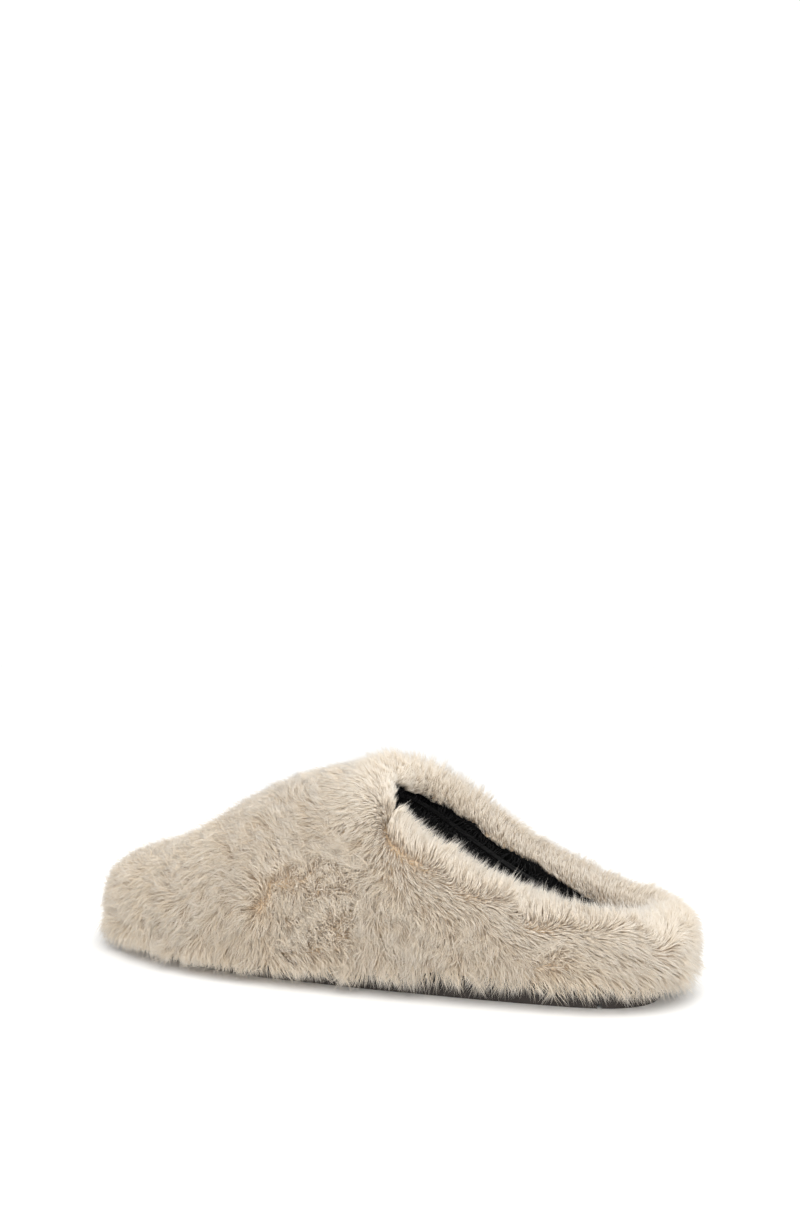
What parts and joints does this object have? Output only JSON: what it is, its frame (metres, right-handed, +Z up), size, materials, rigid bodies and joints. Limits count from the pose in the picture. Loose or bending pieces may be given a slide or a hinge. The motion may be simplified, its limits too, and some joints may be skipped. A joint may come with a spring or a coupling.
{
  "type": "fluffy house slipper",
  "caption": "Slip-on fluffy house slipper: long cream pile outside, black plush inside, low heel rim, thin dark rubber sole.",
  "frame": {"origin": "on the floor, under the middle of the slipper", "axes": "+Z up, toe towards -Y and heel towards +Y, +X towards the outer side of a left foot"},
  "size_m": [0.1187, 0.2834, 0.0908],
  "materials": {
    "pile_cream": "long soft cream faux-fur pile, matte with light tips and tan depths",
    "plush_black": "short dense black plush with a faint grey sheen",
    "sole_rubber": "matte dark brown-black moulded rubber with a fine grain",
    "sole_foam": "matte closed-cell foam",
    "cushion_foam": "matte open-cell foam",
    "board": "matte pressed fibre board",
    "stiffener": "matte thermoplastic sheet",
    "interlining": "plain woven cotton",
    "thread_cream": "twisted polyester thread",
    "thread_black": "twisted polyester thread"
  },
  "bodies": {
    "root": {"outsole": "sole_rubber", "midsole": "sole_foam", "insole_board": "board", "footbed_foam": "cushion_foam", "footbed_plush": "plush_black", "lasting_stitches": "thread_cream", "toe_seam_thread": "thread_cream", "side_seam_thread_lateral": "thread_cream", "side_seam_thread_medial": "thread_cream", "heel_seam_thread": "thread_cream", "facing_seam_thread": "thread_black", "toe_puff": "stiffener", "vamp_interlining": "interlining", "heel_counter": "stiffener", "vamp_padding": "cushion_foam", "quarter_padding": "cushion_foam", "vamp_lining": "plush_black", "quarter_lining": "plush_black", "toe_cap_fur": "pile_cream", "vamp_fur": "pile_cream", "quarter_fur_lateral": "pile_cream", "quarter_fur_medial": "pile_cream"}
  },
  "joints": []
}
